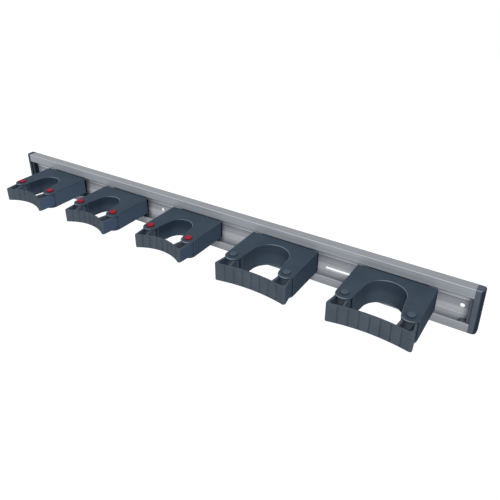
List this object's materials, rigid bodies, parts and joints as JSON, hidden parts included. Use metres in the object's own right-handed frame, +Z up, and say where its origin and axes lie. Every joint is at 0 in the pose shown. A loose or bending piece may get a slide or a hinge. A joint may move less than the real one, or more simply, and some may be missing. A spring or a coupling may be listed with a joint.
{
  "type": "tool holder rail",
  "caption": "Aluminium wall rail with end caps and sliding clip-in holders, whose hinged rubber jaws and ribbed band grip upright tool handles.",
  "frame": {"origin": "middle of the rail's back face, on the wall", "axes": "+X along the rail towards its right end as seen from the front, +Y into the wall, +Z up"},
  "size_m": [0.94, 0.1291, 0.073],
  "materials": {
    "aluminium": "fine lengthwise extrusion lines, satin",
    "cap_plastic": "fine-grained moulded plastic",
    "holder_plastic": "satin moulded plastic",
    "rubber": "matt moulded rubber",
    "pin_red": "satin moulded plastic",
    "pin_grey": "satin moulded plastic"
  },
  "bodies": {
    "rail_body": {"rail": "aluminium", "end_cap_left": "cap_plastic", "end_cap_right": "cap_plastic"},
    "holder_1": {"housing_1": "holder_plastic", "pins_1": "pin_red"},
    "jaw_left_1_body": {"jaw_left_1": "rubber"},
    "band_left_1_body": {"band_left_1": "rubber"},
    "jaw_right_1_body": {"jaw_right_1": "rubber"},
    "band_right_1_body": {"band_right_1": "rubber"},
    "holder_2": {"housing_2": "holder_plastic", "pins_2": "pin_red"},
    "jaw_left_2_body": {"jaw_left_2": "rubber"},
    "band_left_2_body": {"band_left_2": "rubber"},
    "jaw_right_2_body": {"jaw_right_2": "rubber"},
    "band_right_2_body": {"band_right_2": "rubber"},
    "holder_3": {"housing_3": "holder_plastic", "pins_3": "pin_red"},
    "jaw_left_3_body": {"jaw_left_3": "rubber"},
    "band_left_3_body": {"band_left_3": "rubber"},
    "jaw_right_3_body": {"jaw_right_3": "rubber"},
    "band_right_3_body": {"band_right_3": "rubber"},
    "holder_4": {"housing_4": "holder_plastic", "pins_4": "pin_grey"},
    "jaw_left_4_body": {"jaw_left_4": "rubber"},
    "band_left_4_body": {"band_left_4": "rubber"},
    "jaw_right_4_body": {"jaw_right_4": "rubber"},
    "band_right_4_body": {"band_right_4": "rubber"},
    "holder_5": {"housing_5": "holder_plastic", "pins_5": "pin_grey"},
    "jaw_left_5_body": {"jaw_left_5": "rubber"},
    "band_left_5_body": {"band_left_5": "rubber"},
    "jaw_right_5_body": {"jaw_right_5": "rubber"},
    "band_right_5_body": {"band_right_5": "rubber"}
  },
  "joints": [
    {"name": "holder_1_slide", "type": "slide", "parent": "rail_body", "child": "holder_1", "axis": [1, 0, 0], "range_m": [-0.041, 0.028]},
    {"name": "jaw_left_1_turn", "type": "hinge", "parent": "holder_1", "child": "jaw_left_1_body", "pos_m": [-0.3855, -0.095, 0.0055], "axis": [0, 0, 1], "range_deg": [0, 45], "stiffness_Nm_per_rad": 0.25},
    {"name": "jaw_right_1_turn", "type": "hinge", "parent": "holder_1", "child": "jaw_right_1_body", "pos_m": [-0.3045, -0.095, 0.0055], "axis": [0, 0, -1], "range_deg": [0, 45]},
    {"name": "band_left_1_flex", "type": "hinge", "parent": "jaw_left_1_body", "child": "band_left_1_body", "pos_m": [-0.345, -0.11178, 0.0055], "axis": [0, 0, -1], "range_deg": [0, 45], "deforming": ["band_left_1"]},
    {"name": "band_right_1_flex", "type": "hinge", "parent": "jaw_right_1_body", "child": "band_right_1_body", "pos_m": [-0.345, -0.11178, 0.0055], "axis": [0, 0, 1], "range_deg": [0, 45], "deforming": ["band_right_1"]},
    {"name": "holder_2_slide", "type": "slide", "parent": "rail_body", "child": "holder_2", "axis": [1, 0, 0], "range_m": [-0.028, 0.03]},
    {"name": "jaw_left_2_turn", "type": "hinge", "parent": "holder_2", "child": "jaw_left_2_body", "pos_m": [-0.2205, -0.095, 0.0055], "axis": [0, 0, 1], "range_deg": [0, 45], "stiffness_Nm_per_rad": 0.25},
    {"name": "jaw_right_2_turn", "type": "hinge", "parent": "holder_2", "child": "jaw_right_2_body", "pos_m": [-0.1395, -0.095, 0.0055], "axis": [0, 0, -1], "range_deg": [0, 45]},
    {"name": "band_left_2_flex", "type": "hinge", "parent": "jaw_left_2_body", "child": "band_left_2_body", "pos_m": [-0.18, -0.11178, 0.0055], "axis": [0, 0, -1], "range_deg": [0, 45], "deforming": ["band_left_2"]},
    {"name": "band_right_2_flex", "type": "hinge", "parent": "jaw_right_2_body", "child": "band_right_2_body", "pos_m": [-0.18, -0.11178, 0.0055], "axis": [0, 0, 1], "range_deg": [0, 45], "deforming": ["band_right_2"]},
    {"name": "holder_3_slide", "type": "slide", "parent": "rail_body", "child": "holder_3", "axis": [1, 0, 0], "range_m": [-0.03, 0.03]},
    {"name": "jaw_left_3_turn", "type": "hinge", "parent": "holder_3", "child": "jaw_left_3_body", "pos_m": [-0.052, -0.095, 0.0055], "axis": [0, 0, 1], "range_deg": [0, 45], "stiffness_Nm_per_rad": 0.25},
    {"name": "jaw_right_3_turn", "type": "hinge", "parent": "holder_3", "child": "jaw_right_3_body", "pos_m": [0.029, -0.095, 0.0055], "axis": [0, 0, -1], "range_deg": [0, 45]},
    {"name": "band_left_3_flex", "type": "hinge", "parent": "jaw_left_3_body", "child": "band_left_3_body", "pos_m": [-0.0115, -0.11178, 0.0055], "axis": [0, 0, -1], "range_deg": [0, 45], "deforming": ["band_left_3"]},
    {"name": "band_right_3_flex", "type": "hinge", "parent": "jaw_right_3_body", "child": "band_right_3_body", "pos_m": [-0.0115, -0.11178, 0.0055], "axis": [0, 0, 1], "range_deg": [0, 45], "deforming": ["band_right_3"]},
    {"name": "holder_4_slide", "type": "slide", "parent": "rail_body", "child": "holder_4", "axis": [1, 0, 0], "range_m": [-0.03, 0.03]},
    {"name": "jaw_left_4_turn", "type": "hinge", "parent": "holder_4", "child": "jaw_left_4_body", "pos_m": [0.118, -0.0968, 0.0023], "axis": [0, 0, 1], "range_deg": [0, 45], "stiffness_Nm_per_rad": 0.25},
    {"name": "jaw_right_4_turn", "type": "hinge", "parent": "holder_4", "child": "jaw_right_4_body", "pos_m": [0.212, -0.0968, 0.0023], "axis": [0, 0, -1], "range_deg": [0, 45]},
    {"name": "band_left_4_flex", "type": "hinge", "parent": "jaw_left_4_body", "child": "band_left_4_body", "pos_m": [0.165, -0.11627, 0.0023], "axis": [0, 0, -1], "range_deg": [0, 45], "deforming": ["band_left_4"]},
    {"name": "band_right_4_flex", "type": "hinge", "parent": "jaw_right_4_body", "child": "band_right_4_body", "pos_m": [0.165, -0.11627, 0.0023], "axis": [0, 0, 1], "range_deg": [0, 45], "deforming": ["band_right_4"]},
    {"name": "holder_5_slide", "type": "slide", "parent": "rail_body", "child": "holder_5", "axis": [1, 0, 0], "range_m": [-0.03, 0.029]},
    {"name": "jaw_left_5_turn", "type": "hinge", "parent": "holder_5", "child": "jaw_left_5_body", "pos_m": [0.3035, -0.0968, 0.0023], "axis": [0, 0, 1], "range_deg": [0, 45], "stiffness_Nm_per_rad": 0.25},
    {"name": "jaw_right_5_turn", "type": "hinge", "parent": "holder_5", "child": "jaw_right_5_body", "pos_m": [0.3975, -0.0968, 0.0023], "axis": [0, 0, -1], "range_deg": [0, 45]},
    {"name": "band_left_5_flex", "type": "hinge", "parent": "jaw_left_5_body", "child": "band_left_5_body", "pos_m": [0.3505, -0.11627, 0.0023], "axis": [0, 0, -1], "range_deg": [0, 45], "deforming": ["band_left_5"]},
    {"name": "band_right_5_flex", "type": "hinge", "parent": "jaw_right_5_body", "child": "band_right_5_body", "pos_m": [0.3505, -0.11627, 0.0023], "axis": [0, 0, 1], "range_deg": [0, 45], "deforming": ["band_right_5"]}
  ],
  "couplings": [
    {"joint": "jaw_right_1_turn", "follows": "jaw_left_1_turn", "ratio": 1},
    {"joint": "band_left_1_flex", "follows": "jaw_left_1_turn", "ratio": 1},
    {"joint": "band_right_1_flex", "follows": "jaw_left_1_turn", "ratio": 1},
    {"joint": "jaw_right_2_turn", "follows": "jaw_left_2_turn", "ratio": 1},
    {"joint": "band_left_2_flex", "follows": "jaw_left_2_turn", "ratio": 1},
    {"joint": "band_right_2_flex", "follows": "jaw_left_2_turn", "ratio": 1},
    {"joint": "jaw_right_3_turn", "follows": "jaw_left_3_turn", "ratio": 1},
    {"joint": "band_left_3_flex", "follows": "jaw_left_3_turn", "ratio": 1},
    {"joint": "band_right_3_flex", "follows": "jaw_left_3_turn", "ratio": 1},
    {"joint": "jaw_right_4_turn", "follows": "jaw_left_4_turn", "ratio": 1},
    {"joint": "band_left_4_flex", "follows": "jaw_left_4_turn", "ratio": 1},
    {"joint": "band_right_4_flex", "follows": "jaw_left_4_turn", "ratio": 1},
    {"joint": "jaw_right_5_turn", "follows": "jaw_left_5_turn", "ratio": 1},
    {"joint": "band_left_5_flex", "follows": "jaw_left_5_turn", "ratio": 1},
    {"joint": "band_right_5_flex", "follows": "jaw_left_5_turn", "ratio": 1}
  ]
}
